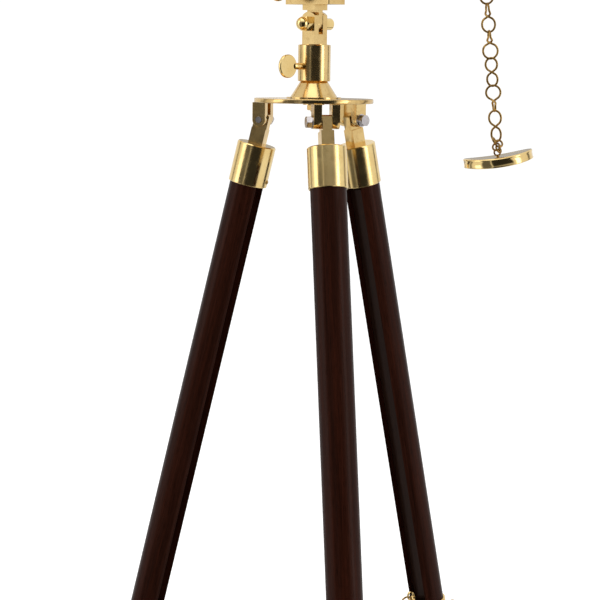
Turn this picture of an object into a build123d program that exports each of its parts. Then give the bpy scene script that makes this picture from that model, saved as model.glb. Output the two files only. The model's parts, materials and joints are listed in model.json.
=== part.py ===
from build123d import *
import os
from math import cos, pi, radians, sin, tan

# Brass floor telescope on a folding brass and wood tripod. Millimetres, +Z up.
# The parts are drawn round the pan axis (X = Y = 0) with the floor at Z = 0, and the whole
# set is moved at the end so that the middle of its box stands over the origin.
# +X is where the telescope looks. Heights named *_H are measured from the hub plate's middle.

# ---- hub ------------------------------------------------------------------
PLATE_Z = 598.0
PLATE_R = 55.3
PLATE_T = 4.2
SOCKET_R = 15.1
SOCKET_FOOT_H = 18.0
SOCKET_TOP_H = 51.6
FLANGE_R = 25.3
CONE_BASE_R = 21.9
CONE_TOP_R = 12.5
SPINDLE_R = 11.95
STUB_R = 5.95
THREAD_R = 3.0             # threaded end under the hub plate
FIT = 0.05                 # radial play of a shaft in its hole
GAP = 0.3                  # plain gap between pieces that move past each other

# ---- pan and tilt head ----------------------------------------------------
FORK_X = 15.8
FORK_Y = 16.7
FORK_SLOT = 5.5
TILT_H = 70.7
TILT_BOLT_R = 3.0
FORK_TOP_R = 11.0
NECK_H = 83.2
SADDLE_H = 88.4
SADDLE_X = 56.7
SADDLE_Y = 21.4
SADDLE_TALL = 18.0
GROOVE_DEEP = 7.0
GROOVE_TOP = 9.0
GROOVE_FOOT = 13.0
RAIL_X = 74.0
RAIL_Y = 16.0

# ---- thumbscrews ----------------------------------------------------------
PADDLE_R = 10.7
PADDLE_T = 3.2
SCREW_R = 3.0
PAN_SCREW_H = 31.6
PAN_PADDLE_Y = 34.5
SADDLE_SCREW_X = -17.5
SADDLE_SCREW_H = 101.4
SADDLE_PADDLE_Y = 31.0

# ---- telescope, stations along its axis from the pan axis ------------------
TUBE_H = 142.0
TUBE_R = 25.0
TUBE_WALL = 1.2
TUBE_REAR = -150.0
TUBE_FRONT = 254.0
HOOD_R = 28.5
HOOD_REAR = 262.5
HOOD_FRONT = 331.0
RIM_R = 29.0
RIM_LONG = 8.0
CONE_END = -186.0
FOCUSER_R = 20.0
FOCUSER_END = -236.0
DRAW_R = 16.0
DRAW_FRONT = -130.0
DRAW_END = -326.0
EYE_TUBE_R = 13.0
EYE_END = -361.0
PINION_X = -212.0
PINION_PITCH_R = 4.0
PINION_DROP = 22.0
TEETH = 10
SHAFT_R = 1.95
KNOB_R = 9.5

# ---- legs, stations down each leg from its hinge ---------------------------
LEG_AZIMUTHS = (-32.4, 87.6, 207.6)
HINGE_RADIUS = 49.6
HINGE_H = -18.4
SPLAY = 13.4
CHEEK_T = 7.6
CHEEK_W = 12.5
CHEEK_GAP = 9.4
HINGE_BOLT_R = 2.9
BLOCK_W = 14.0
BLOCK_T = 12.0
FERRULE_TOP = 23.3
FERRULE_END = 61.8
FERRULE_R = 18.15
WOOD_R = 16.6
WOOD_TAPER = 0.0003
WOOD_END = 525.0
CHANNEL_W = 21.4
CHANNEL_FLOOR = 5.6        # the channel's floor lies this far outward of the leg's axis
BATTEN_W = 21.0
BATTEN_OUT = 5.4
BATTEN_IN = 6.5
BATTEN_TOP = 66.0
BATTEN_END = 566.0
COLLAR_TOP = 490.0
COLLAR_END = 532.0
CLAMP_S = 514.0
FOOT_TOP = 548.0
FOOT_SHOULDER = 572.0

# ---- chains ----------------------------------------------------------------
LINK_R = 5.1               # middle radius of a spreader link
LINK_WIRE = 1.8
EYE_S = 479.0
EYE_OUT = 21.0             # the eye's middle lies this far inward of the leg's axis
CHAIN_SLOPE = 35.0
CHAIN_RING_R = 8.0
CAP_LINK_R = 6.7
CAP_WIRE = 1.8
CAP_LINKS = 13             # an odd number, so that the last link crosses the cap's loop
CAP_CHAIN_TOP = (205.0, 0.0)
EYE_LOOP_R = 2.6           # the small loops at the ends of the cap's chain
EYE_LOOP_WIRE = 1.5
EYE_LOOP_DROP = TUBE_R + 4.4
CAP_LOOP_RISE = 2.4
LOOP_TURN = 45.0
CAP_PLACE = (215.0, 10.0, -42.0)
CAP_LEAN = 9.6
CAP_R = 30.15
CAP_BORE_R = 29.1
CAP_TALL = 8.0
CAP_FACE_T = 3.0           # from the rim's top edge down to the flat inside face


def turned(points):
    """A closed outline of (radius, height) points turned about Z."""
    outline = Polyline(*[(r, 0, z) for r, z in points], close=True)
    return revolve(make_face(outline), Axis.Z)


def rod(radius, low, high):
    return Pos(0, 0, (low + high) / 2) * Cylinder(radius, high - low)


def pipe(outer, inner, low, high, chamfer=0.4):
    c = chamfer
    outside = [(outer - c, low), (outer, low + c), (outer, high - c), (outer - c, high)]
    return turned([(inner, low), *outside, (inner, high)])


def bar(x, y, z):
    """A block from its (low, high) pair on each axis."""
    middle = [(low + high) / 2 for low, high in (x, y, z)]
    return Pos(*middle) * Box(x[1] - x[0], y[1] - y[0], z[1] - z[0])


def cross_rod(radius, y_low, y_high, x=0, z=0):
    """A rod along Y."""
    return Pos(x, (y_low + y_high) / 2, z) * Rot(90, 0, 0) * Cylinder(radius, y_high - y_low)


def hexagon_prism(across_flats, low, high):
    prism = extrude(RegularPolygon(across_flats / 2, 6, major_radius=False), high - low)
    tall = high - low
    flat_r = across_flats * 0.5
    corner_r = across_flats * 0.58
    side = [(flat_r, 0), (corner_r, 0.9), (corner_r, tall - 0.9), (flat_r, tall)]
    crown = turned([(0, 0), *side, (0, tall)])
    return Pos(0, 0, low) * (prism & crown)


def ring_link(radius, wire):
    return Torus(radius, wire / 2)


def thumb_screw(tip, paddle_at, paddle_r):
    """A screw along +Z: its shank from tip, and a flat round paddle whose middle is at paddle_at."""
    neck_end = paddle_at - paddle_r * 0.8
    shank = rod(SCREW_R, tip, neck_end + 1.0)
    half = PADDLE_T / 2
    edge = paddle_r - 0.6
    rim = [(edge, -half), (paddle_r, 0.6 - half), (paddle_r, half - 0.6), (edge, half)]
    disc = turned([(0, -half), *rim, (0, half)])
    paddle = Rot(0, 90, 0) * disc
    return shank + Pos(0, 0, paddle_at) * paddle


def at_plate(shape):
    return Pos(0, 0, PLATE_Z) * shape


def on_tube(shape):
    """Lays a piece that was drawn along Z on the telescope's axis."""
    return Pos(0, 0, PLATE_Z + TUBE_H) * Rot(0, 90, 0) * shape


# ---- the fixed hub ---------------------------------------------------------
def hub_plate():
    t = PLATE_T / 2
    return at_plate(pipe(PLATE_R, STUB_R + FIT, -t, t, 0.5))


def pan_socket():
    foot = PLATE_T / 2
    flange_top = foot + 1.2
    bore = SPINDLE_R + FIT
    floor = SOCKET_FOOT_H + 2
    body = turned([
        (STUB_R + FIT, foot), (FLANGE_R, foot), (FLANGE_R, flange_top), (CONE_BASE_R, flange_top),
        (CONE_TOP_R, SOCKET_FOOT_H), (SOCKET_R - 0.6, SOCKET_FOOT_H), (SOCKET_R, SOCKET_FOOT_H + 0.6),
        (SOCKET_R, SOCKET_TOP_H - 0.6), (SOCKET_R - 0.6, SOCKET_TOP_H), (bore, SOCKET_TOP_H),
        (bore, floor), (STUB_R + FIT, floor)])
    return at_plate(body - cross_rod(SCREW_R + FIT, -FLANGE_R, 0, z=PAN_SCREW_H))


def hub_place(azimuth):
    return Rot(0, 0, azimuth) * Pos(HINGE_RADIUS, 0, PLATE_Z + HINGE_H)


def leg_brackets():
    """Two upright cheeks under the plate for each leg, drilled for the hinge bolt."""
    top = -PLATE_T / 2 - HINGE_H
    cheeks = []
    for azimuth in LEG_AZIMUTHS:
        for side in (-1, 1):
            low, high = sorted((side * CHEEK_GAP / 2, side * (CHEEK_GAP / 2 + CHEEK_T)))
            plate = bar((-CHEEK_W / 2, CHEEK_W / 2), (low, high), (0, top))
            plate += cross_rod(CHEEK_W / 2, low, high)
            plate -= cross_rod(HINGE_BOLT_R + 0.02, low - 1, high + 1)
            cheeks.append(hub_place(azimuth) * plate)
    return Compound(cheeks)


def hinge_bolts():
    """Hexagon bolts with a washer under the head and a round end flush past the other cheek."""
    face = CHEEK_GAP / 2 + CHEEK_T
    bolts = []
    for azimuth in LEG_AZIMUTHS:
        shank = rod(HINGE_BOLT_R, -face - 0.6, face)
        washer = rod(6.0, face, face + 0.9)
        head = hexagon_prism(10.0, face + 0.9, face + 6.2)
        bolts.append(hub_place(azimuth) * Rot(90, 0, 0) * (shank + washer + head))
    return Compound(bolts)


# ---- pan and tilt head -----------------------------------------------------
def fork_spindle():
    """A round spindle that ends above the socket in a two-cheeked fork."""
    stub = rod(THREAD_R, -10.0, 0) + rod(STUB_R, -PLATE_T / 2, SOCKET_FOOT_H + 2 + GAP)
    spindle = rod(SPINDLE_R, SOCKET_FOOT_H + 2 + GAP, SOCKET_TOP_H + 0.4)
    foot = SOCKET_TOP_H + 0.4
    blank = bar((-FORK_X / 2, FORK_X / 2), (-FORK_Y / 2, FORK_Y / 2), (foot, TILT_H + FORK_TOP_R))
    crown = cross_rod(FORK_TOP_R, -FORK_Y, FORK_Y, z=TILT_H)
    crown += bar((-20, 20), (-20, 20), (SOCKET_TOP_H, TILT_H))
    slot = bar((-20, 20), (-FORK_SLOT / 2, FORK_SLOT / 2), (TILT_H - 9.5, TILT_H + 20))
    bore = cross_rod(TILT_BOLT_R + 0.02, -FORK_Y, FORK_Y, z=TILT_H)
    return at_plate(stub + spindle + (blank & crown) - slot - bore)


def spindle_retainer():
    """Washer and hexagon nut under the hub plate."""
    low = -PLATE_T / 2 - GAP
    washer = rod(10.0, low - 1.4, low)
    nut = hexagon_prism(11.0, low - 6.4, low - 1.4)
    return at_plate(washer + nut - rod(THREAD_R + 0.02, low - 7, low + 1))


def tilt_bolt():
    """Plain shank with a long round head on the +Y side."""
    face = FORK_Y / 2
    shank = rod(TILT_BOLT_R, -12.5, face)
    head = pipe(5.4, 0, face, face + 12.5, 0.7)
    return at_plate(Pos(0, 0, TILT_H) * Rot(-90, 0, 0) * (shank + head))


def acorn_nut():
    face = FORK_Y / 2
    body = hexagon_prism(13.0, face, face + 7.0)
    dome = Pos(0, 0, face + 7.4) * Sphere(6.2) & rod(7.0, face + 6.4, face + 14)
    hole = rod(TILT_BOLT_R + 0.02, face - 1, 12.6)
    return at_plate(Pos(0, 0, TILT_H) * Rot(90, 0, 0) * (body + dome - hole))


def saddle():
    """Tongue, square neck and a long block with a dovetail groove along its top."""
    tongue_t = FORK_SLOT - 0.5
    tongue = cross_rod(7.6, -tongue_t / 2, tongue_t / 2, z=TILT_H)
    tongue += bar((-7.6, 7.6), (-tongue_t / 2, tongue_t / 2), (TILT_H, NECK_H))
    tongue -= cross_rod(TILT_BOLT_R + FIT, -10, 10, z=TILT_H)
    neck = bar((-FORK_X / 2, FORK_X / 2), (-FORK_Y / 2, FORK_Y / 2), (NECK_H, SADDLE_H))
    top = SADDLE_H + SADDLE_TALL
    block = bar((-SADDLE_X / 2, SADDLE_X / 2), (-SADDLE_Y / 2, SADDLE_Y / 2), (SADDLE_H, top))
    block = chamfer(block.edges().filter_by(Axis.Z), 0.6)
    groove = dovetail(SADDLE_X + 10, top - GROOVE_DEEP, top + 0.01, 0)
    screw_hole = cross_rod(SCREW_R + FIT, -SADDLE_Y, 0, x=SADDLE_SCREW_X, z=SADDLE_SCREW_H)
    return at_plate(tongue + neck + block - groove - screw_hole)


def dovetail(length, low, high, play):
    """A dovetail bar along X, wide at the foot, made smaller by play on each flank."""
    a = GROOVE_FOOT / 2 - play
    b = GROOVE_TOP / 2 - play
    outline = Polyline((0, -a, low), (0, a, low), (0, b, high), (0, -b, high), close=True)
    return Pos(-length / 2, 0, 0) * extrude(make_face(outline), length, dir=(1, 0, 0))


def mount_rail():
    """The telescope's dovetail foot and the cradle soldered to the tube."""
    top = SADDLE_H + SADDLE_TALL
    foot = dovetail(RAIL_X, top - GROOVE_DEEP + 0.15, top + 0.01, 0.12)
    web = GROOVE_TOP / 2 - 0.15
    foot += bar((-RAIL_X / 2, RAIL_X / 2), (-web, web), (top - 0.01, top + 0.5))
    cradle = bar((-RAIL_X / 2, RAIL_X / 2), (-RAIL_Y / 2, RAIL_Y / 2), (top + 0.4, TUBE_H - TUBE_R + 3))
    tube = Pos(0, 0, TUBE_H) * Rot(0, 90, 0) * Cylinder(TUBE_R, RAIL_X + 10)
    return at_plate(foot + (cradle - tube))


def pan_thumbscrew():
    screw = thumb_screw(SPINDLE_R + FIT + GAP, PAN_PADDLE_Y, PADDLE_R)
    return at_plate(Pos(0, 0, PAN_SCREW_H) * Rot(90, 0, 0) * screw)


def saddle_thumbscrew():
    tip = GROOVE_FOOT / 2 + 0.2
    screw = thumb_screw(tip, SADDLE_PADDLE_Y, PADDLE_R)
    return at_plate(Pos(SADDLE_SCREW_X, 0, SADDLE_SCREW_H) * Rot(90, 0, 0) * screw)


# ---- telescope -------------------------------------------------------------
def barrel():
    return on_tube(pipe(TUBE_R, TUBE_R - TUBE_WALL, TUBE_REAR, TUBE_FRONT, 0.2))


def barrel_bands():
    """Plain raised rings round the barrel: one at each end and two by the mount."""
    bands = []
    for low, high in ((TUBE_REAR, TUBE_REAR + 9), (-52, -44), (44, 52), (TUBE_FRONT - 9, TUBE_FRONT)):
        bands.append(on_tube(pipe(TUBE_R + 1.5, TUBE_R + 0.02, low, high, 0.9)))
    return Compound(bands)


def lens_cell():
    """Threaded spigot, shoulder and seat for the objective."""
    spigot = TUBE_R - TUBE_WALL - 0.03
    sleeve = HOOD_R - 1.2 - 0.03
    return on_tube(turned([
        (22.0, TUBE_FRONT - 11), (spigot, TUBE_FRONT - 11), (spigot, TUBE_FRONT), (28.6, TUBE_FRONT),
        (29.3, TUBE_FRONT + 0.7), (29.3, HOOD_REAR - 0.7), (28.6, HOOD_REAR), (sleeve, HOOD_REAR),
        (sleeve, HOOD_REAR + 16), (24.7, HOOD_REAR + 16), (24.7, HOOD_REAR + 3), (22.0, HOOD_REAR + 3)]))


def objective_lens():
    """A biconvex lens between the seat and the retaining ring."""
    seat = HOOD_REAR + 3.02
    curve = 180.0
    front = Pos(0, 0, seat + 7.4 - curve) * Sphere(curve)
    back = Pos(0, 0, seat - 1.3 + curve) * Sphere(curve)
    return on_tube(rod(24.5, seat - 3, seat + 9) & front & back)


def lens_ring():
    seat = HOOD_REAR + 3.02
    return on_tube(pipe(24.6, 22.4, seat + 6.1, seat + 9.1, 0.3))


def dew_hood():
    """Short wide tube before the lens, with a thick turned rim that the cap slides over."""
    inner = HOOD_R - 1.2
    rim = HOOD_FRONT - RIM_LONG
    return on_tube(turned([
        (inner, HOOD_REAR), (HOOD_R - 0.3, HOOD_REAR), (HOOD_R, HOOD_REAR + 0.3), (HOOD_R, rim - 0.5),
        (RIM_R, rim), (RIM_R, HOOD_FRONT - 0.5), (RIM_R - 0.5, HOOD_FRONT), (inner, HOOD_FRONT)]))


def rack_slot(low, high):
    """Keyway under the bore for the rack, along Z as drawn, below as mounted."""
    return bar((DRAW_R - 2, DRAW_R + 3.2), (-2.9, 2.9), (low, high))


def tail_cone():
    spigot = TUBE_R - TUBE_WALL - 0.03
    body = turned([
        (17.0, TUBE_REAR + 12), (spigot, TUBE_REAR + 12), (spigot, TUBE_REAR), (26.6, TUBE_REAR),
        (27.2, TUBE_REAR - 0.6), (27.2, TUBE_REAR - 4.4), (26.6, TUBE_REAR - 5), (24.6, TUBE_REAR - 5),
        (FOCUSER_R + 0.6, CONE_END), (17.0, CONE_END)])
    return on_tube(body - rack_slot(CONE_END - 1, TUBE_REAR + 13))


def focuser_body():
    """Guide for the draw tube, with the pinion's box under it."""
    bore = DRAW_R + FIT
    guide = turned([
        (bore, CONE_END), (FOCUSER_R + 1.6, CONE_END), (FOCUSER_R + 1.6, CONE_END - 5),
        (FOCUSER_R, CONE_END - 6), (FOCUSER_R, FOCUSER_END + 7), (FOCUSER_R + 1.4, FOCUSER_END + 6),
        (FOCUSER_R + 1.4, FOCUSER_END + 0.7), (FOCUSER_R + 0.7, FOCUSER_END), (bore, FOCUSER_END)])
    box = bar((14.0, PINION_DROP + 8), (-11, 11), (PINION_X - 10, PINION_X + 10)) - rod(bore, -300, -100)
    body = guide + box - rack_slot(FOCUSER_END - 1, CONE_END + 1)
    place = Pos(PINION_DROP, 0, PINION_X) * Rot(90, 0, 0)
    shaft_hole = place * Cylinder(SHAFT_R + FIT, 40)
    cavity = place * Cylinder(PINION_PITCH_R + 1.1, 9)
    return on_tube(body - shaft_hole - cavity)


def chain_eye():
    """Small ring soldered under the barrel for the cap's chain."""
    x, y = CAP_CHAIN_TOP
    stem = Pos(x, y, TUBE_H - TUBE_R - 1.2) * Cylinder(1.2, 2.8)
    upright = Rot(0, 0, LOOP_TURN) * Rot(90, 0, 0)
    loop = Pos(x, y, TUBE_H - EYE_LOOP_DROP) * upright * ring_link(EYE_LOOP_R, EYE_LOOP_WIRE)
    tube = Pos(x, 0, TUBE_H) * Rot(0, 90, 0) * Cylinder(TUBE_R, 30)
    return at_plate(stem + loop - tube)


# ---- focusing --------------------------------------------------------------
def draw_tube():
    return on_tube(pipe(DRAW_R, DRAW_R - 1.0, DRAW_END, DRAW_FRONT, 0.1))


def tooth_flank(half_width, height):
    """Half of a tooth's width at a height over its pitch line, for flanks leaning 20 degrees."""
    return half_width - height * tan(radians(20))


def draw_rack():
    """A straight toothed strip under the draw tube, its spaces in step with the pinion."""
    pitch = 2 * pi * PINION_PITCH_R / TEETH
    root = PINION_DROP - PINION_PITCH_R - 1.0
    line = PINION_DROP - PINION_PITCH_R
    tip = line + 0.7
    strip = bar((DRAW_R - 3, root), (-2.5, 2.5), (PINION_X - 38, PINION_X + 48)) - rod(DRAW_R, -300, -100)
    for step in range(-15, 19):
        z = PINION_X + (step + 0.5) * pitch
        wide = tooth_flank(0.52, root - line)
        narrow = tooth_flank(0.52, tip - line)
        outline = Polyline((root - 0.1, 0, z - wide), (root - 0.1, 0, z + wide),
                           (tip, 0, z + narrow), (tip, 0, z - narrow), close=True)
        strip += Pos(0, 2.5, 0) * extrude(make_face(outline), 5.0, dir=(0, -1, 0))
    return on_tube(strip)


def pinion_shaft():
    """Cross shaft with its pinion, in mesh with the rack."""
    shaft = Cylinder(SHAFT_R, 58)
    root = PINION_PITCH_R - 1.05
    tip = PINION_PITCH_R + 0.6
    gear = Cylinder(root, 7.0)
    wide = tooth_flank(0.52, root - PINION_PITCH_R)
    narrow = tooth_flank(0.52, tip - PINION_PITCH_R)
    for tooth in range(TEETH):
        corners = [(root - 0.5, -wide), (root - 0.5, wide), (tip, narrow), (tip, -narrow)]
        outline = Polyline(*corners, close=True)
        solid = Pos(0, 0, -3.5) * extrude(make_face(outline), 7.0, dir=(0, 0, 1))
        gear += Rot(0, 0, 360 / TEETH * tooth) * solid
    return on_tube(Pos(PINION_DROP, 0, PINION_X) * Rot(90, 0, 0) * Rot(0, 0, 180) * (shaft + gear))


def focus_knobs():
    knobs = []
    for side in (0, 180):
        knob = turned([
            (SHAFT_R + 0.02, 13.0), (4.2, 13.0), (4.2, 17.0), (KNOB_R - 0.7, 17.0), (KNOB_R, 17.7),
            (KNOB_R, 25.3), (KNOB_R - 0.7, 26.0), (SHAFT_R + 0.02, 26.0)])
        knobs.append(on_tube(Pos(PINION_DROP, 0, PINION_X) * Rot(90, 0, 0) * Rot(side, 0, 0) * knob))
    return Compound(knobs)


def draw_collar():
    """Turned ring that closes the draw tube and guides the eyepiece."""
    bore = EYE_TUBE_R + FIT
    inside = DRAW_R - 1.03
    return on_tube(turned([
        (bore, DRAW_END - 5), (18.0, DRAW_END - 5), (18.6, DRAW_END - 4.4), (18.6, DRAW_END - 0.6),
        (18.0, DRAW_END), (inside, DRAW_END), (inside, DRAW_END + 9), (bore, DRAW_END + 9)]))


def eyepiece_tube():
    return on_tube(pipe(EYE_TUBE_R, EYE_TUBE_R - 1.1, EYE_END + 9, EYE_END + 62, 0.1))


def eye_cup():
    """Flared mouthpiece with a dished face round the eye hole."""
    socket_r = EYE_TUBE_R + 0.02
    flare = [(5.0, 4), (11.0, 2.2), (16.8, 0), (17.8, 0.8), (17.8, 3.2), (14.2, 8.2), (14.2, 16)]
    inside = [(socket_r, 16), (socket_r, 8.9), (8.6, 8.9), (8.6, 6.5), (5.0, 6.5)]
    return on_tube(turned([(r, EYE_END + station) for r, station in flare + inside]))


def eye_lens():
    return on_tube(pipe(8.5, 0, EYE_END + 6.55, EYE_END + 8.85, 0.5))


def field_lens():
    return on_tube(pipe(EYE_TUBE_R - 1.15, 0, EYE_END + 54, EYE_END + 57.5, 0.8))


# ---- legs ------------------------------------------------------------------
def leg_place(azimuth):
    """From a leg drawn hanging down -Z from its hinge, with +X outward, to its splayed place."""
    return hub_place(azimuth) * Rot(0, -SPLAY, 0)


def wood_radius(station):
    return WOOD_R - WOOD_TAPER * station


def leg_block():
    """Tongue for the hinge, a square block under it, and a round spigot into the wood."""
    tongue_t = CHEEK_GAP - 0.6
    tongue = bar((-BLOCK_W / 2, BLOCK_W / 2), (-tongue_t / 2, tongue_t / 2), (-8.4, 5.8))
    tongue = chamfer(tongue.edges().filter_by(Axis.Y).group_by(Axis.Z)[-1], 1.6)
    block = bar((-BLOCK_W / 2, BLOCK_W / 2), (-BLOCK_T / 2, BLOCK_T / 2), (-FERRULE_TOP, -8.4))
    spigot = rod(4.0, -FERRULE_TOP - 14, -FERRULE_TOP)
    return tongue + block + spigot - cross_rod(HINGE_BOLT_R + FIT, -10, 10)


def leg_ferrule():
    inner = wood_radius(FERRULE_TOP) + 0.05
    c = 0.9
    return turned([
        (4.05, -FERRULE_TOP), (FERRULE_R - c, -FERRULE_TOP), (FERRULE_R, -FERRULE_TOP - c),
        (FERRULE_R, -FERRULE_END + 0.5), (FERRULE_R - 0.5, -FERRULE_END), (inner, -FERRULE_END),
        (inner, -FERRULE_TOP - 1.6), (4.05, -FERRULE_TOP - 1.6)])


def leg_wood():
    """Round tapered stave with a channel along its inner side, solid inside the ferrule."""
    top = FERRULE_TOP + 1.65
    stave = turned([
        (0, -top), (wood_radius(top), -top), (wood_radius(WOOD_END), -WOOD_END), (0, -WOOD_END)])
    channel = bar((-30, CHANNEL_FLOOR), (-CHANNEL_W / 2, CHANNEL_W / 2), (-WOOD_END - 1, -FERRULE_END))
    spigot_hole = rod(4.05, -FERRULE_TOP - 14.5, 0)
    screw_hole = Pos(15, 0, -CLAMP_S) * Rot(0, 90, 0) * Cylinder(SCREW_R + FIT, 30)
    return stave - channel - spigot_hole - screw_hole


def leg_collar():
    """Brass collar on the stave's lower end, with the batten's guide and the chain's eye."""
    inner = wood_radius(COLLAR_TOP) + 0.05
    sleeve = turned([
        (inner, -COLLAR_TOP), (FERRULE_R - 0.6, -COLLAR_TOP), (FERRULE_R, -COLLAR_TOP - 0.6),
        (FERRULE_R, -COLLAR_END + 0.9), (FERRULE_R - 0.9, -COLLAR_END), (0, -COLLAR_END),
        (0, -WOOD_END - 0.1), (inner, -WOOD_END - 0.1)])
    play = 0.2
    half = BATTEN_W / 2 + play
    guide = bar((-BATTEN_IN - play, BATTEN_OUT + play), (-half, half), (-COLLAR_END - 1, -WOOD_END + 1))
    screw_hole = Pos(15, 0, -CLAMP_S) * Rot(0, 90, 0) * Cylinder(SCREW_R + FIT, 30)
    lug = bar((-FERRULE_R - 0.4, -inner - 0.05), (-2.2, 2.2), (-COLLAR_TOP - 3, -EYE_S - 1.5))
    eye = Pos(-EYE_OUT, 0, -EYE_S) * Rot(90, 0, 0) * ring_link(3.9, 2.0)
    return sleeve - guide - screw_hole + lug + eye


def clamp_screw():
    screw = thumb_screw(BATTEN_OUT + GAP, FERRULE_R + 14, 8.5)
    return Pos(0, 0, -CLAMP_S) * Rot(0, 90, 0) * Rot(0, 0, 90) * screw


def batten():
    strip = bar((-BATTEN_IN, BATTEN_OUT), (-BATTEN_W / 2, BATTEN_W / 2), (-BATTEN_END, -BATTEN_TOP))
    return chamfer(strip.edges().filter_by(Axis.Z), 0.5)


def foot_shoe(azimuth):
    """Brass shoe over the batten's end and a spike, cut level where it meets the floor."""
    wall = 1.3
    half = BATTEN_W / 2 + wall
    box = bar((-BATTEN_IN - wall, BATTEN_OUT + wall), (-half, half), (-FOOT_SHOULDER, -FOOT_TOP))
    box = chamfer(box.edges().filter_by(Axis.Z), 2.0)
    pocket = bar((-BATTEN_IN, BATTEN_OUT), (-BATTEN_W / 2, BATTEN_W / 2), (-BATTEN_END, -FOOT_TOP + 1))
    long = (PLATE_Z + HINGE_H) / cos(radians(SPLAY))
    spike = turned([(0, -FOOT_SHOULDER), (6.9, -FOOT_SHOULDER), (6.4, -FOOT_SHOULDER - 3),
                    (4.6, -FOOT_SHOULDER - 5), (3.9, -long - 6), (0, -long - 6)])
    shoe = leg_place(azimuth) * (box - pocket + spike)
    return shoe - bar((-400, 400), (-400, 400), (-50, 0))


# ---- chains ----------------------------------------------------------------
def chain_links(start, end, radius, wire, count, first_turn):
    """Round links in a straight line from start to end, each turned a quarter from the last."""
    line = end - start
    plane = Plane(origin=start, x_dir=Vector(line.Z, 0, -line.X), z_dir=line)
    step = line.length / (count - 1)
    links = []
    for number in range(count):
        turn = Rot(0, 0, first_turn + 90 * number) * Rot(0, 90, 0)
        links.append(plane.location * Pos(0, 0, step * number) * turn * ring_link(radius, wire))
    return links


def link_step(radius, wire):
    """Distance between the middles of two round links pulled straight."""
    return 2 * radius - wire - 0.2


def eye_in_radial_plane():
    """Radius and height of the middle of a leg's eye."""
    splay = radians(SPLAY)
    radius = HINGE_RADIUS + EYE_S * sin(splay) - EYE_OUT * cos(splay)
    height = PLATE_Z + HINGE_H - EYE_S * cos(splay) - EYE_OUT * sin(splay)
    return radius, height


def spreader_points():
    """First and last link middles and the link count, in one leg's radial plane."""
    radius, height = eye_in_radial_plane()
    slope = radians(CHAIN_SLOPE)
    step = link_step(LINK_R, LINK_WIRE)
    first = 3.9 + LINK_R - (2.0 + LINK_WIRE) / 2 - 0.1
    reach = (radius - CHAIN_RING_R - LINK_R - 1.5) / cos(slope) - first
    count = int(reach / step) + 1
    slack = reach - step * (count - 1)
    step += slack / (count - 1)
    start = (radius - first * cos(slope), height - first * sin(slope))
    end = (start[0] - step * (count - 1) * cos(slope), start[1] - step * (count - 1) * sin(slope))
    return start, end, count


def spreader_chain(azimuth):
    (r0, z0), (r1, z1), count = spreader_points()
    links = chain_links(Vector(r0, 0, z0), Vector(r1, 0, z1), LINK_R, LINK_WIRE, count, 0)
    return Compound([Rot(0, 0, azimuth) * link for link in links])


def spreader_ring():
    end_height = spreader_points()[1][1]
    return Pos(0, 0, end_height - (LINK_R + 1.5) * sin(radians(CHAIN_SLOPE))) * ring_link(CHAIN_RING_R, 2.0)


def cap_chain():
    hang = CAP_LINK_R + EYE_LOOP_R - (EYE_LOOP_WIRE + CAP_WIRE) / 2 - 0.15
    top_loop = Vector(*CAP_CHAIN_TOP, PLATE_Z + TUBE_H - EYE_LOOP_DROP)
    cap_loop = (cap_place() * Pos(0, 0, CAP_LOOP_RISE)).position
    line = (cap_loop - top_loop).normalized()
    start = top_loop + line * hang
    end = cap_loop - line * hang
    return Compound(chain_links(start, end, CAP_LINK_R, CAP_WIRE, CAP_LINKS, LOOP_TURN - 90))


def cap_place():
    x, y, height = CAP_PLACE
    return Pos(x, y, PLATE_Z + height) * Rot(0, 0, 45) * Rot(0, -CAP_LEAN, 0)


def lens_cap():
    """Slip-on cap hanging mouth down, its outer face dished and its inside flat."""
    bowl = turned([
        (0, -1.6), (20.0, -1.0), (25.0, 0.0), (CAP_R - 0.8, 0.0), (CAP_R, -0.8), (CAP_R, -CAP_TALL),
        (CAP_BORE_R, -CAP_TALL), (CAP_BORE_R, -CAP_FACE_T), (0, -CAP_FACE_T)])
    return cap_place() * bowl


def cap_eye():
    stem = rod(1.3, -1.55, 0.6)
    loop = Pos(0, 0, CAP_LOOP_RISE) * Rot(90, 0, 0) * ring_link(EYE_LOOP_R, EYE_LOOP_WIRE)
    return cap_place() * (stem + loop)


# ---- assembly --------------------------------------------------------------
def all_parts():
    singles = (
        hub_plate, pan_socket, leg_brackets, hinge_bolts, fork_spindle, spindle_retainer, tilt_bolt,
        acorn_nut, saddle, mount_rail, pan_thumbscrew, saddle_thumbscrew, barrel, barrel_bands, lens_cell,
        objective_lens, lens_ring, dew_hood, tail_cone, focuser_body, chain_eye, draw_tube, draw_rack,
        draw_collar, pinion_shaft, focus_knobs, eyepiece_tube, eye_cup, eye_lens, field_lens, cap_chain,
        lens_cap, cap_eye, spreader_ring)
    parts = {make.__name__: make() for make in singles}
    for number, azimuth in enumerate(LEG_AZIMUTHS, 1):
        place = leg_place(azimuth)
        for make in (leg_block, leg_ferrule, leg_wood, leg_collar, clamp_screw, batten):
            parts[f"{make.__name__}_{number}"] = place * make()
        parts[f"foot_shoe_{number}"] = foot_shoe(azimuth)
        parts[f"spreader_chain_{number}"] = spreader_chain(azimuth)
    return parts


def centring_move(parts):
    """The level move that puts the middle of the whole box over the origin."""
    box = Compound(list(parts.values())).bounding_box()
    middle = box.center()
    return Pos(-round(middle.X, 2), -round(middle.Y, 2), 0)


def main():
    os.makedirs("parts", exist_ok=True)
    parts = all_parts()
    move = centring_move(parts)
    for name, shape in parts.items():
        export_step(move * shape, f"parts/{name}.step")


if __name__ == "__main__":
    main()
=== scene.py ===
import json
import math
import bmesh
import bpy
from mathutils import Matrix, Vector


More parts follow.
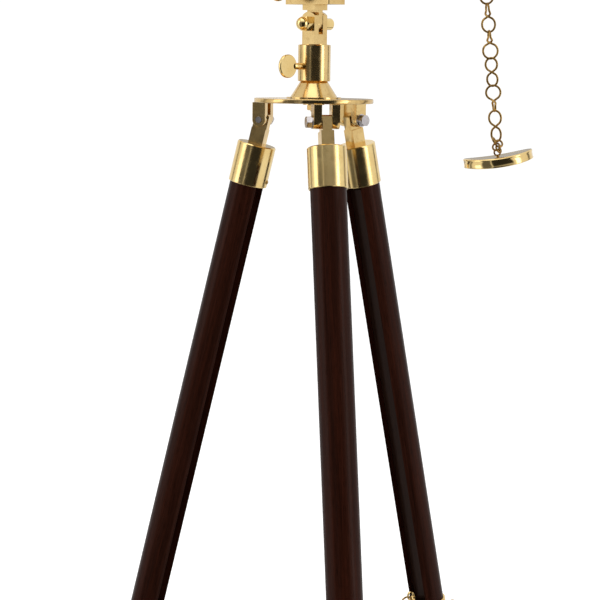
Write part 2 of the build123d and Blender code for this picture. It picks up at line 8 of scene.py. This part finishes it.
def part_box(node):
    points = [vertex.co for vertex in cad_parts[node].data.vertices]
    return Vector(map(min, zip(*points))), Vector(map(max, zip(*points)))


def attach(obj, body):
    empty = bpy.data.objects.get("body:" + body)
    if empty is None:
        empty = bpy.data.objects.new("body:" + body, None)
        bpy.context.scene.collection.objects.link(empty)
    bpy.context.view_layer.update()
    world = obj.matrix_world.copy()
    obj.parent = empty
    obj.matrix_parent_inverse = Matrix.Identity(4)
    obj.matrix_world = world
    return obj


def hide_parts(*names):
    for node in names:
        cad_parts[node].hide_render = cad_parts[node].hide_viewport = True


# Looks of the brass telescope on its wooden tripod. Lengths in metres, +X where it points, +Z up.

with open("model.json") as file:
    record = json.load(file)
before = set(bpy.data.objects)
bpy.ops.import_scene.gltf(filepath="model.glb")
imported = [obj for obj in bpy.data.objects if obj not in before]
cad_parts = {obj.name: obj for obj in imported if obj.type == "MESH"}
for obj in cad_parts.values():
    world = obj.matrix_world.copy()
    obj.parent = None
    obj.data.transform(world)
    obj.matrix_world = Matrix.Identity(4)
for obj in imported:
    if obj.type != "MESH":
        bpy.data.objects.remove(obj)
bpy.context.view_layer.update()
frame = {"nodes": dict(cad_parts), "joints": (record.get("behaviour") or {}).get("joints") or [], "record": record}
nodes = frame["nodes"]
joints = {joint["name"]: joint for joint in frame["joints"]}
slots = {part["node"]: part["material_slot"] for part in frame["record"]["subparts"]}

MM = 0.001
LEGS = (1, 2, 3)


def box_middle(node):
    low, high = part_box(node)
    return (low + high) / 2


PAN = box_middle("hub_plate")
VIEW_BACK = Vector((1, -1, 0)).normalized()     # level direction from the object to the camera
VIEW_RIGHT = Vector((1, 1, 0)).normalized()
UP = Vector((0, 0, 1))

# ---- colours, linear -------------------------------------------------------
BRASS_LIGHT = (0.90, 0.68, 0.31)
BRASS_MID = (0.80, 0.56, 0.22)
BRASS_DEEP = (0.50, 0.29, 0.08)
CAST_LIGHT = (0.82, 0.60, 0.27)
CAST_MID = (0.66, 0.44, 0.17)
CAST_DEEP = (0.30, 0.17, 0.05)
WIRE_LIGHT = (0.55, 0.34, 0.10)
WIRE_MID = (0.24, 0.14, 0.04)
WIRE_DEEP = (0.06, 0.035, 0.012)
STEEL_LIGHT = (0.70, 0.66, 0.66)
STEEL_DARK = (0.42, 0.39, 0.39)
STEEL_DEEP = (0.20, 0.18, 0.18)
WOOD_DARK = (0.0050, 0.0012, 0.0006)
WOOD_MID = (0.0150, 0.0034, 0.0016)
WOOD_RED = (0.0400, 0.0084, 0.0036)
BATTEN_TONES = ((0.0040, 0.0014, 0.0008), (0.0110, 0.0045, 0.0028), (0.0220, 0.0100, 0.0062))
GLOSS_TINT = (0.90, 0.50, 0.38, 1.0)             # the lacquer's reflection
GLASS_TINT = (0.93, 0.97, 0.98)
GLASS_FILM = (0.97, 0.95, 1.00)
FLOOR_TONES = ((0.93, 0.93, 0.93), (0.96, 0.96, 0.96))


class Graph:
    """A material and the few node shapes that this object's finishes are made of."""

    def __init__(self, name):
        self.material = bpy.data.materials.new(name)
        self.material.use_nodes = True
        self.tree = self.material.node_tree
        self.shader = self.tree.nodes["Principled BSDF"]
        self.place = self.add("ShaderNodeTexCoord").outputs["Object"]

    def add(self, kind, **settings):
        node = self.tree.nodes.new(kind)
        for key, value in settings.items():
            setattr(node, key, value)
        return node

    def link(self, source, target):
        self.tree.links.new(source, target)

    def constant(self, **values):
        for key, value in values.items():
            self.shader.inputs[key.replace("_", " ")].default_value = value

    def along(self, axes, scales):
        """The place measured along three axes, each times its own scale."""
        parts = self.add("ShaderNodeCombineXYZ")
        for axis, scale, socket in zip(axes, scales, parts.inputs):
            dot = self.add("ShaderNodeVectorMath", operation="DOT_PRODUCT")
            self.link(self.place, dot.inputs[0])
            dot.inputs[1].default_value = Vector(axis) * scale
            self.link(dot.outputs["Value"], socket)
        return parts.outputs[0]

    def noise(self, vector, scale, detail=4.0, roughness=0.55, distortion=0.0):
        node = self.add("ShaderNodeTexNoise")
        self.link(vector, node.inputs["Vector"])
        node.inputs["Scale"].default_value = scale
        node.inputs["Detail"].default_value = detail
        node.inputs["Roughness"].default_value = roughness
        node.inputs["Distortion"].default_value = distortion
        return node.outputs["Fac"]

    def ramp(self, value, stops):
        node = self.add("ShaderNodeValToRGB")
        self.link(value, node.inputs["Fac"])
        ramp = node.color_ramp
        while len(ramp.elements) < len(stops):
            ramp.elements.new(0.5)
        for element, (position, colour) in zip(ramp.elements, stops):
            element.position = position
            element.color = (*colour, 1.0)
        return node.outputs["Color"]

    def mixed(self, factor, first, second, blend="MIX"):
        node = self.add("ShaderNodeMix", data_type="RGBA", blend_type=blend)
        sockets = [s for s in node.inputs if s.type == "RGBA"]
        if isinstance(factor, float):
            node.inputs["Factor"].default_value = factor
        else:
            self.link(factor, node.inputs["Factor"])
        self.link(first, sockets[0])
        self.link(second, sockets[1])
        return next(s for s in node.outputs if s.type == "RGBA")

    def ranged(self, value, low, high, start=0.3, end=0.7):
        node = self.add("ShaderNodeMapRange")
        self.link(value, node.inputs["Value"])
        for key, number in (("From Min", start), ("From Max", end), ("To Min", low), ("To Max", high)):
            node.inputs[key].default_value = number
        return node.outputs["Result"]

    def bump(self, layers):
        """Stacks (height, strength, distance) layers and gives them to the shader."""
        normal = None
        for height, strength, distance in layers:
            node = self.add("ShaderNodeBump")
            node.inputs["Strength"].default_value = strength
            node.inputs["Distance"].default_value = distance
            self.link(height, node.inputs["Height"])
            if normal is not None:
                self.link(normal, node.inputs["Normal"])
            normal = node.outputs["Normal"]
        self.link(normal, self.shader.inputs["Normal"])


def metal(name, tones, gloss, spots=0.35, streak_axes=None):
    """Brass or steel: tone drifts over the surface, tarnish sits in spots, buffing leaves fine marks."""
    g = Graph(name)
    g.constant(Metallic=1.0)
    light, mid, deep = tones
    drift = g.noise(g.place, 38.0, 5.0)
    base = g.ramp(drift, [(0.30, mid), (0.70, light)])
    tarnish = g.ranged(g.noise(g.place, 210.0, 8.0, 0.68), 0.0, spots, 0.52, 0.74)
    dark = g.ramp(g.noise(g.place, 90.0, 3.0), [(0.35, deep), (0.75, mid)])
    g.link(g.mixed(tarnish, base, dark), g.shader.inputs["Base Color"])
    smudge = g.noise(g.place, 65.0, 6.0, 0.62, 0.6)
    g.link(g.ranged(smudge, gloss[0], gloss[1]), g.shader.inputs["Roughness"])
    axes = streak_axes or ((1, 0, 0), (0, 1, 0), (0, 0, 1))
    fine = (2600.0, 2600.0, 60.0) if streak_axes else (900.0, 900.0, 900.0)
    marks = g.noise(g.along(axes, fine), 1.0, 3.0, 0.6)
    waves = g.noise(g.place, 45.0, 2.0)
    g.bump([(waves, 0.10, 0.0006), (marks, 0.06 if streak_axes else 0.03, 0.0001)])
    return g.material


def leg_axes(number):
    """Sideways, inward and downward unit vectors of a leg."""
    side = Vector(joints[f"fold_{number}"]["axis"])
    down = Vector(joints[f"extend_{number}"]["axis"])
    return side, side.cross(down), down


def wood(name, axes, tones):
    """Dark lacquered wood: long grain, pores and a clear glossy coat."""
    g = Graph(name)
    dark, mid, red = tones
    grain = g.noise(g.along(axes, (420.0, 420.0, 9.0)), 1.0, 7.0, 0.62, 1.2)
    figure = g.noise(g.along(axes, (60.0, 60.0, 3.0)), 1.0, 3.0, 0.5, 2.0)
    pores = g.noise(g.along(axes, (2400.0, 2400.0, 90.0)), 1.0, 2.0, 0.5)
    colour = g.ramp(grain, [(0.28, dark), (0.52, mid), (0.78, red)])
    shade = g.ramp(figure, [(0.30, mid), (0.72, red)])
    body = g.mixed(0.4, colour, shade)
    pore_shade = g.ramp(pores, [(0.36, dark), (0.46, red)])
    in_pore = g.ranged(pores, 0.55, 0.0, 0.34, 0.46)
    g.link(g.mixed(in_pore, body, pore_shade, "MULTIPLY"), g.shader.inputs["Base Color"])
    g.link(g.ranged(grain, 0.30, 0.46), g.shader.inputs["Roughness"])
    g.constant(Coat_Weight=0.04, Coat_Roughness=0.12, Specular_IOR_Level=0.10, Specular_Tint=GLOSS_TINT)
    g.bump([(figure, 0.12, 0.0012), (grain, 0.16, 0.0003), (pores, 0.10, 0.0001)])
    return g.material


def glass(name):
    g = Graph(name)
    g.constant(Transmission_Weight=1.0, IOR=1.52, Coat_Weight=0.3)
    film = g.noise(g.place, 60.0, 3.0)
    g.link(g.ramp(film, [(0.3, GLASS_TINT), (0.7, GLASS_FILM)]), g.shader.inputs["Base Color"])
    g.link(g.ranged(g.noise(g.place, 500.0, 6.0), 0.01, 0.05), g.shader.inputs["Roughness"])
    return g.material


BRASS = (BRASS_LIGHT, BRASS_MID, BRASS_DEEP)
POLISHED = metal("polished_brass", BRASS, (0.07, 0.16))
CAST = metal("cast_brass", (CAST_LIGHT, CAST_MID, CAST_DEEP), (0.12, 0.26), 0.5)
TURNED = metal("turned_brass", BRASS, (0.08, 0.18), 0.3, ((0, 1, 0), (1, 0, 0), (0, 0, 1)))
WIRE = metal("chain_brass", (WIRE_LIGHT, WIRE_MID, WIRE_DEEP), (0.16, 0.34), 0.8)
STEEL = metal("zinc_steel", (STEEL_LIGHT, STEEL_DARK, STEEL_DEEP), (0.20, 0.38), 0.4)
GLASS = glass("coated_glass")
LEG_WOOD = {n: wood(f"mahogany_{n}", leg_axes(n), (WOOD_DARK, WOOD_MID, WOOD_RED)) for n in LEGS}
BATTEN_WOOD = {n: wood(f"batten_wood_{n}", leg_axes(n), BATTEN_TONES) for n in LEGS}
LEG_BRASS = {n: metal(f"brushed_brass_{n}", BRASS, (0.14, 0.27), 0.35, leg_axes(n)) for n in LEGS}
PLAIN = {
    "polished_brass": POLISHED, "cast_brass": CAST, "chain_brass": WIRE, "steel": STEEL, "glass": GLASS}
TURNED_NODES = ("barrel", "dew_hood", "draw_tube", "tail_cone", "focuser_body", "lens_cell")


def finish_of(node):
    number = int(node[-1]) if node[-1].isdigit() else 0
    if node.startswith("batten"):
        return BATTEN_WOOD[number]
    if slots[node] == "mahogany":
        return LEG_WOOD[number]
    if slots[node] == "brushed_brass":
        return LEG_BRASS[number]
    return TURNED if node in TURNED_NODES else PLAIN[slots[node]]


def set_material(thing, material):
    slots_held = thing.data.materials
    if not slots_held:
        slots_held.append(material)
    for index in range(len(slots_held)):
        slots_held[index] = material


def round_edges(thing):
    """Breaks the block's sharp edges for the picture; the mesh underneath stays as it is."""
    weld = thing.modifiers.new("weld", "WELD")
    weld.merge_threshold = 0.01 * MM
    bevel = thing.modifiers.new("edge", "BEVEL")
    bevel.width = EDGE
    bevel.segments = 2
    bevel.limit_method = "ANGLE"
    bevel.angle_limit = math.radians(38)
    bevel.harden_normals = True


EDGE = 0.35 * MM
SHARP_BLOCKS = ("fork_spindle", "saddle", "mount_rail", "leg_brackets", "hinge_bolts", "acorn_nut",
                "pan_thumbscrew", "saddle_thumbscrew", "hub_plate")


def dress_cad():
    for name, thing in nodes.items():
        set_material(thing, finish_of(name))
        if name in SHARP_BLOCKS or name.startswith(("leg_block", "batten", "clamp_screw", "foot_shoe")):
            round_edges(thing)


# ---- mesh helpers ----------------------------------------------------------
def mesh_piece(name, points, faces, material, body, replaced=()):
    mesh = bpy.data.meshes.new(name)
    mesh.from_pydata([tuple(p) for p in points], [], faces)
    work = bmesh.new()
    work.from_mesh(mesh)
    bmesh.ops.recalc_face_normals(work, faces=work.faces)
    work.to_mesh(mesh)
    work.free()
    mesh.shade_smooth()
    mesh.set_sharp_from_angle(angle=math.radians(50))
    thing = bpy.data.objects.new(name, mesh)
    bpy.context.scene.collection.objects.link(thing)
    mesh.materials.append(material)
    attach(thing, body)
    if replaced:
        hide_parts(*replaced)
    return thing


def wire_loop(path, radius, sides=10):
    """A closed round wire along a closed path of points."""
    count = len(path)
    points, faces = [], []
    tangent = (path[1] - path[-1]).normalized()
    normal = tangent.orthogonal().normalized()
    frames = []
    for i in range(count):
        new = (path[(i + 1) % count] - path[i - 1]).normalized()
        normal = (normal - new * normal.dot(new)).normalized()
        frames.append((new, normal))
    last = frames[-1][1]
    first_tangent, first = frames[0]
    carried = (last - first_tangent * last.dot(first_tangent)).normalized()
    twist = math.atan2(carried.cross(first).dot(first_tangent), carried.dot(first))
    for i, (along, side) in enumerate(frames):
        turn = Matrix.Rotation(twist * i / count, 3, along)
        a = turn @ side
        b = along.cross(a)
        for k in range(sides):
            angle = 2 * math.pi * k / sides
            points.append(path[i] + (a * math.cos(angle) + b * math.sin(angle)) * radius)
    for i in range(count):
        j = (i + 1) % count
        for k in range(sides):
            m = (k + 1) % sides
            faces.append((i * sides + k, i * sides + m, j * sides + m, j * sides + k))
    return points, faces


def joined(shapes):
    points, faces = [], []
    for some_points, some_faces in shapes:
        start = len(points)
        points += some_points
        faces += [tuple(start + index for index in face) for face in some_faces]
    return points, faces


def lathe(outline, steps=96, wave=None, cut=None):
    """Turns a closed (radius, height) outline about Z.

    wave(angle, radius, height) gives the height, and cut(step, radius) the radius.
    """
    points, faces = [], []
    count = len(outline)
    for step in range(steps):
        angle = 2 * math.pi * step / steps
        for radius, height in outline:
            r = cut(step, radius) if cut else radius
            z = wave(angle, radius, height) if wave else height
            points.append(Vector((r * math.cos(angle), r * math.sin(angle), z)))
    for step in range(steps):
        after = (step + 1) % steps
        for k in range(count):
            m = (k + 1) % count
            faces.append((step * count + k, after * count + k, after * count + m, step * count + m))
    return points, faces


# ---- the cap's chain: wire links twisted to a figure of eight ---------------
CHAIN_WIRE = 0.95 * MM
CHAIN_DROP = 171.0
# each link's top and bottom on a scale that runs CHAIN_DROP from the eye down to the cap, the share of
# its length above its waist, then the turn away from the camera (degrees) and half width (mm) of its
# upper and its lower lobe
CAP_LINKS = (
    (0.0, 28.5, 0.45, (80, 4.6), (10, 5.6)), (26.0, 56.0, 0.44, (80, 4.8), (8, 5.6)),
    (52.5, 81.8, 0.42, (84, 5.0), (4, 6.3)), (79.0, 108.5, 0.50, (12, 5.0), (18, 4.6)),
    (105.8, 133.2, 0.58, (6, 6.2), (82, 4.6)), (130.5, 163.0, 0.50, (10, 5.2), (24, 4.3)))
KNOT_RINGS = ((161.0, -1.9, 20), (164.0, 1.8, 70), (167.0, -0.6, 110), (169.5, 1.2, 35))
WAIST_ANGLE = math.radians(40)
LOBE_STEPS = 22


def lobe(direction, reach, half_width):
    """One lobe as (along, across) points, from one side of the waist round to the other."""
    tall = reach * 0.47
    sweep = 2 * (math.pi - WAIST_ANGLE)
    turns = [math.pi - WAIST_ANGLE - sweep * i / LOBE_STEPS for i in range(LOBE_STEPS + 1)]
    return [(direction * (reach - tall + tall * math.cos(t)), half_width * MM * math.sin(t)) for t in turns]


def crossing(start, end):
    """Points between two lobes, where the wire passes the waist."""
    return [(start[0] + (end[0] - start[0]) * share, start[1] + (end[1] - start[1]) * share)
            for share in (0.25, 0.5, 0.75)]


def lobed_link(waist, down, side, reaches, upper, lower):
    """One wire bent to a figure of eight, each lobe turned about the chain by its own angle."""
    depth = down.cross(side)
    first = lobe(-1, reaches[0], upper[1])
    second = lobe(1, reaches[1], lower[1])
    outline = first + crossing(first[-1], second[0]) + second + crossing(second[-1], first[0])
    path = []
    for index, (along, across) in enumerate(outline):
        share = min(1.0, max(0.0, 0.5 + along / min(reaches)))
        share = share * share * (3 - 2 * share)
        turn = math.radians(upper[0] + (lower[0] - upper[0]) * share)
        plane = side * math.cos(turn) + depth * math.sin(turn)
        over = 1 if LOBE_STEPS / 2 < index < LOBE_STEPS * 1.5 + 4 else -1
        lift = over * CHAIN_WIRE * 1.05 * math.exp(-((along / min(reaches)) * 5.0) ** 2)
        path.append(waist + down * along + plane * across + down.cross(plane) * lift)
    return wire_loop(path, CHAIN_WIRE)


def cap_chain_piece():
    eye_low, eye_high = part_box("chain_eye")
    loop_low, loop_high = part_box("cap_eye")
    top = (eye_low + eye_high) / 2
    top.z = eye_low.z + 2.6 * MM
    bottom = (loop_low + loop_high) / 2
    bottom.z = loop_high.z - 2.0 * MM
    down = (bottom - top).normalized()
    side = (VIEW_RIGHT - down * VIEW_RIGHT.dot(down)).normalized()
    unit = (bottom - top).length / CHAIN_DROP
    shapes = []
    for start, end, share, upper, lower in CAP_LINKS:
        waist = start + (end - start) * share
        reaches = ((waist - start) * unit - CHAIN_WIRE, (end - waist) * unit - CHAIN_WIRE)
        shapes.append(lobed_link(top + down * waist * unit, down, side, reaches, upper, lower))
    for at, across, turn in KNOT_RINGS:
        angle = math.radians(turn)
        normal = (side * math.cos(angle) + VIEW_BACK * math.sin(angle) + UP * 0.5).normalized()
        shapes.append(small_ring(top + down * at * unit + side * across * MM, normal, 3.2 * MM))
    points, faces = joined(shapes)
    mesh_piece("cap_chain_links", points, faces, WIRE, "cap_hanger", ("cap_chain",))


def small_ring(centre, normal, radius):
    a = normal.orthogonal().normalized()
    b = normal.cross(a)
    turns = [2 * math.pi * i / 28 for i in range(28)]
    path = [centre + (a * math.cos(t) + b * math.sin(t)) * radius for t in turns]
    return wire_loop(path, CHAIN_WIRE * 0.9)


# ---- the lens cap ----------------------------------------------------------
# radius and height in mm from the cap's top face: dish, rolled top edge, wall, rolled lip, inside
CAP_OUTLINE = (
    (0.05, -1.6), (10.0, -1.45), (18.0, -1.15), (22.5, -0.6), (25.0, -0.05), (28.6, 0.1), (29.6, -0.1),
    (30.2, -0.8), (30.2, -1.5), (29.9, -2.1), (29.9, -6.4), (30.25, -7.0), (30.2, -7.6), (29.7, -8.0),
    (29.2, -7.8), (29.1, -7.2), (29.1, -3.0), (20.0, -3.0), (0.05, -3.0))
CAP_MOUTH_BELOW_FACE = 5.5 * MM
CAP_BEND = 1.3 * MM
CAP_BEND_RADIUS = 30.0 * MM


def lens_cap_piece():
    """A pressed brass cap, bent a little so that two sides of its rim stand higher."""
    mouth = next(m for m in frame["record"]["mounts"] if m["name"] == "cap_mouth")
    normal = -Vector(mouth["axis"]).normalized()
    top = Vector(mouth["pos_m"]) + normal * CAP_MOUTH_BELOW_FACE
    across = (VIEW_RIGHT - normal * VIEW_RIGHT.dot(normal)).normalized()
    depth = normal.cross(across)

    def bent(angle, radius, height):
        return height + CAP_BEND * (radius / CAP_BEND_RADIUS) ** 2 * math.cos(2 * angle)

    points, faces = lathe([(r * MM, z * MM) for r, z in CAP_OUTLINE], 96, bent)
    points = [top + across * p.x + depth * p.y + normal * p.z for p in points]
    mesh_piece("pressed_cap", points, faces, POLISHED, "cap", ("lens_cap",))


# ---- small turned pieces ---------------------------------------------------
KNURLS = 44
KNURL_DEEP = 0.35 * MM
KNOB_BORE = 1.97
KNOB_NECK = 4.2
# the knob's section in mm: how far inside its rim, and how far out along the shaft
KNOB_RIM = ((1.4, 17.0), (0.5, 17.5), (0.0, 18.2), (0.0, 24.8), (0.5, 25.5))
SCREW_DOME = ((0.02, 1.5), (0.9, 1.35), (1.8, 0.8), (2.3, 0.0), (2.3, -0.4), (0.02, -0.4))
SCREW_STATION = 56.0 * MM                        # from the hinge down the leg
FERRULE_FACE = 18.0 * MM                         # from the leg's axis


def knurled_knobs():
    """The two focusing knobs, with straight knurling round their rims."""
    low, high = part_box("focus_knobs")
    middle = (low + high) / 2
    radius = (high.x - low.x) / 2
    reach = (high.y - low.y) / 2
    outline = [(KNOB_BORE * MM, 13.0 * MM), (KNOB_NECK * MM, 13.0 * MM), (KNOB_NECK * MM, 16.8 * MM)]
    outline += [(radius - inside * MM, along * MM) for inside, along in KNOB_RIM]
    outline += [(radius - 1.4 * MM, reach), (5.2 * MM, reach)]
    outline += [(4.6 * MM, reach - 0.7 * MM), (KNOB_BORE * MM, reach - 0.7 * MM)]

    def knurled(step, r):
        return r - KNURL_DEEP if r > radius - 0.2 * MM and step % 4 < 2 else r

    shapes = []
    for turn in (1, -1):
        points, faces = lathe(outline, KNURLS * 4, cut=knurled)
        shapes.append(([middle + Vector((p.x, turn * p.z, p.y)) for p in points], faces))
    points, faces = joined(shapes)
    mesh_piece("focus_knob_pair", points, faces, POLISHED, "focus", ("focus_knobs",))


def ferrule_screws():
    """A small round-headed screw through the inner side of each ferrule."""
    for number in LEGS:
        side, inward, down = leg_axes(number)
        hinge = Vector(joints[f"fold_{number}"]["pos_m"])
        seat = hinge + down * SCREW_STATION + inward * FERRULE_FACE
        points, faces = lathe([(r * MM, z * MM) for r, z in SCREW_DOME], 24)
        points = [seat + side * p.x + down * p.y + inward * p.z for p in points]
        mesh_piece(f"ferrule_screw_{number}", points, faces, WIRE, f"leg_{number}")


# ---- the room --------------------------------------------------------------
def floor():
    bpy.ops.mesh.primitive_circle_add(vertices=96, radius=9.0, fill_type="NGON", location=(0, 0, 0))
    thing = bpy.context.object
    thing.name = "floor"
    g = Graph("pale_floor")
    tone = g.noise(g.place, 3.0, 3.0)
    g.link(g.ramp(tone, [(0.3, FLOOR_TONES[0]), (0.7, FLOOR_TONES[1])]), g.shader.inputs["Base Color"])
    g.constant(Roughness=0.9, Specular_IOR_Level=0.1, Emission_Color=(1, 1, 1, 1), Emission_Strength=0.35)
    thing.data.materials.append(g.material)
    thing.visible_glossy = False


# azimuth from the camera's side, half width and depth of each dark panel, in degrees
DARK_PANELS = (
    (9.0, 38.0, 0.97), (-46.0, 19.0, 0.86), (-112.0, 9.0, 0.7), (118.0, 9.0, 0.75), (178.0, 14.0, 0.5))
PANEL_EDGE = 5.0
PANEL_TOP = 0.64                                 # sine of the elevation where the panels have faded out
PANEL_FADE = 2.8
ROOM_GLOW = 0.92
BACKDROP = 1.05


def surroundings():
    """A white room with dark upright panels, which is what gives turned brass its bands."""
    world = bpy.data.worlds.new("studio")
    bpy.context.scene.world = world
    world.use_nodes = True
    tree = world.node_tree
    tree.nodes.clear()

    def math_node(operation, first, second=None):
        node = tree.nodes.new("ShaderNodeMath")
        node.operation = operation
        for socket, value in zip(node.inputs, (first, second)):
            if value is None:
                continue
            if isinstance(value, (int, float)):
                socket.default_value = value
            else:
                tree.links.new(value, socket)
        return node.outputs[0]

    def dot(vector, direction):
        node = tree.nodes.new("ShaderNodeVectorMath")
        node.operation = "DOT_PRODUCT"
        tree.links.new(vector, node.inputs[0])
        node.inputs[1].default_value = direction
        return node.outputs["Value"]

    way = tree.nodes.new("ShaderNodeTexCoord").outputs["Generated"]
    azimuth = math_node("ARCTAN2", dot(way, VIEW_RIGHT), dot(way, VIEW_BACK))
    dark = 0.0
    for centre, half, depth in DARK_PANELS:
        offset = math_node("ABSOLUTE", math_node("SUBTRACT", azimuth, math.radians(centre)))
        within = math_node("SUBTRACT", math.radians(half), offset)
        edge = math_node("DIVIDE", within, math.radians(PANEL_EDGE))
        inside = math_node("MULTIPLY", math_node("MINIMUM", math_node("MAXIMUM", edge, 0.0), 1.0), depth)
        dark = math_node("MAXIMUM", dark, inside)
    height = dot(way, UP)
    fade = math_node("MULTIPLY", math_node("SUBTRACT", PANEL_TOP, height), PANEL_FADE)
    below_top = math_node("MINIMUM", math_node("MAXIMUM", fade, 0.0), 1.0)
    bright = math_node("SUBTRACT", 1.0, math_node("MULTIPLY", dark, below_top))
    level = math_node("MULTIPLY", bright, ROOM_GLOW)
    seen = tree.nodes.new("ShaderNodeLightPath").outputs["Is Camera Ray"]
    unseen = math_node("MULTIPLY", math_node("SUBTRACT", 1.0, seen), level)
    strength = math_node("ADD", math_node("MULTIPLY", seen, BACKDROP), unseen)
    background = tree.nodes.new("ShaderNodeBackground")
    background.inputs["Color"].default_value = (1.0, 1.0, 1.0, 1.0)
    tree.links.new(strength, background.inputs["Strength"])
    output = tree.nodes.new("ShaderNodeOutputWorld")
    tree.links.new(background.outputs[0], output.inputs["Surface"])


def area_light(name, place, target, size, energy):
    data = bpy.data.lights.new(name, "AREA")
    data.shape = "RECTANGLE"
    data.size, data.size_y = size
    data.energy = energy
    thing = bpy.data.objects.new(name, data)
    bpy.context.scene.collection.objects.link(thing)
    thing.location = place
    thing.rotation_euler = (target - place).to_track_quat("-Z", "Y").to_euler()


# each softbox: its place right of, in front of and above the pan axis, its size, and its watts
SOFTBOXES = {
    "left_softbox": ((-1.6, 0.5, 0.5), (0.7, 1.6), 4.0),
    "right_softbox": ((1.7, 0.9, 0.3), (0.5, 1.5), 6.0),
    "top_softbox": ((0.0, 0.3, 1.5), (1.4, 1.4), 6.0),
}


def lights():
    for name, ((right, front, above), size, watts) in SOFTBOXES.items():
        place = PAN + VIEW_RIGHT * right + VIEW_BACK * front + UP * above
        area_light(name, place, PAN, size, watts)


CAMERA_DISTANCE = 2.122
CAMERA_SIDE = -0.0103
CAMERA_RISE = 0.042
CAMERA_PITCH = 6.13
CAMERA_ROLL = 0.75
CAMERA_LENS = 136.9


def camera():
    data = bpy.data.cameras.new("camera")
    data.lens = CAMERA_LENS
    data.sensor_width = 36.0
    data.clip_end = 50.0
    thing = bpy.data.objects.new("camera", data)
    bpy.context.scene.collection.objects.link(thing)
    pitch = math.radians(CAMERA_PITCH)
    roll = math.radians(CAMERA_ROLL)
    forward = -VIEW_BACK * math.cos(pitch) - UP * math.sin(pitch)
    level_up = VIEW_RIGHT.cross(forward)
    right = VIEW_RIGHT * math.cos(roll) + level_up * math.sin(roll)
    up = right.cross(forward)
    place = PAN + VIEW_BACK * CAMERA_DISTANCE + VIEW_RIGHT * CAMERA_SIDE + UP * CAMERA_RISE
    turn = Matrix((right, up, -forward)).transposed().to_4x4()
    thing.matrix_world = Matrix.Translation(place) @ turn
    bpy.context.scene.camera = thing


dress_cad()
cap_chain_piece()
lens_cap_piece()
knurled_knobs()
ferrule_screws()
floor()
surroundings()
lights()
camera()
bpy.context.scene.view_settings.view_transform = "Standard"
